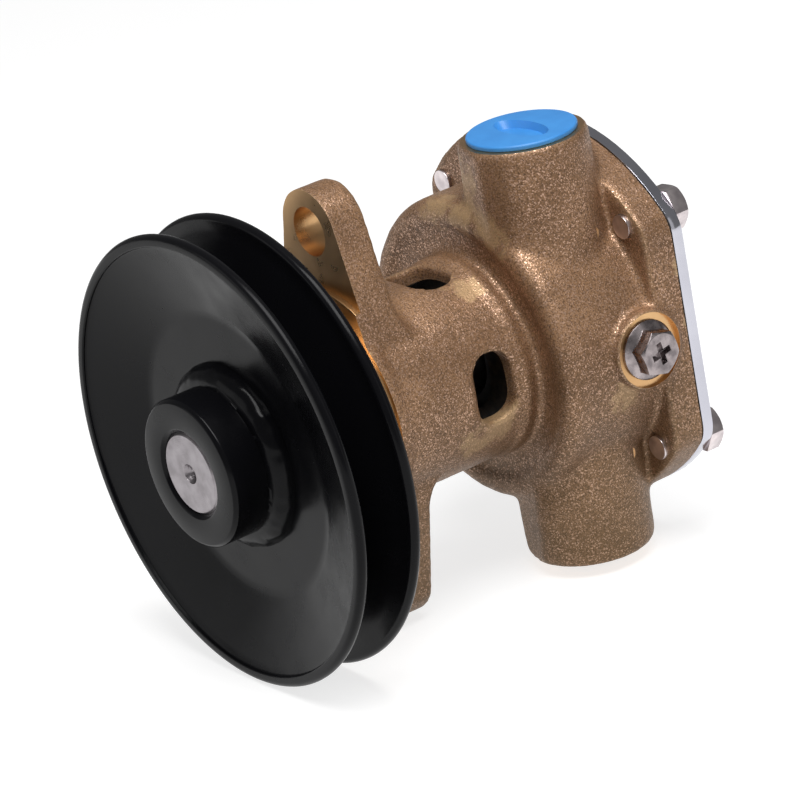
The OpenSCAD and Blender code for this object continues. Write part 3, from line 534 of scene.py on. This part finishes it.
gloss_black, gloss_shader, gloss_place = new_finish("gloss_black", (0.004, 0.004, 0.005), 0, 0.2)
gloss_shader.inputs["Specular IOR Level"].default_value = 0.12
feed(gloss_black, gloss_shader, "Roughness",
     span(gloss_black, speckle(gloss_black, gloss_place, 10, 4), 0.3, 0.7, 0.16, 0.3))
relief(gloss_black, gloss_shader, speckle(gloss_black, gloss_place, 1.2), 0.012, 0.4)
for name, node, side in (("front_pressing", "pulley_front_disc", front_side),
                         ("rear_pressing", "pulley_rear_disc", rear_side)):
    pressing = as_object(name, spun(disc_profile, side, disc_rounding, 160), 40)
    fitted(pressing, [gloss_black], "rotor", "pulley_paint", node)

hub_piece = as_object("pulley_hub_turning", eased("pulley_hub", 0.2), 20)
fitted(hub_piece, [gloss_black], "rotor", "pulley_paint", "pulley_hub")

bead_foot = 2.02
beads = bmesh.new()
for side in (front_side, rear_side):
    bead = spun([(web_bore_r, bead_foot), (22.4, bead_foot), (22.4, 6.4), (web_bore_r, 6.4)], side,
                [(2, 4.3)], 180)
    bead_mesh = bpy.data.meshes.new("bead")
    bead.to_mesh(bead_mesh)
    beads.from_mesh(bead_mesh)
for vert in beads.verts:
    radius = math.hypot(vert.co.x, vert.co.z) / mm
    lump = noise.noise(vert.co / (3 * mm)) * 0.35 + noise.noise(vert.co / (1.2 * mm)) * 0.12
    off_web = abs(abs(vert.co.y / mm - pulley_place_y) - bead_foot) > 0.1
    if radius > 18.1 and off_web:
        outward = Vector((vert.co.x, 0, vert.co.z)).normalized()
        vert.co += outward * lump * mm
weld_piece = as_object("hub_weld_beads", beads, 60)
fitted(weld_piece, [gloss_black], "rotor", "pulley_paint", "pulley_welds")


# A light blue plastic cap is pushed into the upper port to keep dirt out. It has an oval dish on top.
cap_plastic, cap_shader, cap_place = new_finish("cap_plastic", (0.055, 0.33, 0.83), 0, 0.42)
feed(cap_plastic, cap_shader, "Base Color",
     tinted(cap_plastic, span(cap_plastic, speckle(cap_plastic, cap_place, 5), 0.3, 0.7, 0, 1),
            (0.05, 0.27, 0.66), (0.042, 0.235, 0.6)))
relief(cap_plastic, cap_shader, speckle(cap_plastic, cap_place, 2), 0.05, 0.25)
cap_profile = [(0, -2), (7.9, -2), (7.4, -9), (8.7, -9), (9.2, -6), (9.24, 0), (13.2, 0), (13.2, 1.3),
               (0, 1.3)]
cap_shape = spun(cap_profile, Matrix.Translation(port_centre + Vector((0, 0, port_face_z * mm))),
                 [(6, 0.25), (7, 0.6), (3, 0.4)], 128)
cap_blank = as_object("cap_blank", cap_shape)
dish = bmesh.new()
bmesh.ops.create_cone(dish, cap_ends=True, segments=72, radius1=0.82, radius2=1.14, depth=2,
                      matrix=Matrix.Translation(port_centre + Vector((0, 0, 53.3 * mm)))
                      @ Matrix.Diagonal((9.3 * mm, 4.2 * mm, 1.8 * mm, 1)))
dish_tool = as_object("dish_tool", dish)
dishing = cap_blank.modifiers.new("dishing", "BOOLEAN")
dishing.operation = "DIFFERENCE"
dishing.solver = "MANIFOLD"
dishing.object = dish_tool
cap_shape = bmesh.new()
cap_shape.from_mesh(cap_blank.evaluated_get(bpy.context.evaluated_depsgraph_get()).data)
bpy.data.objects.remove(dish_tool)
bpy.data.objects.remove(cap_blank)
cap_piece = as_object("push_in_cap", cap_shape, 12)
fitted(cap_piece, [cap_plastic], "cap", "cap_plastic", "port_cap")
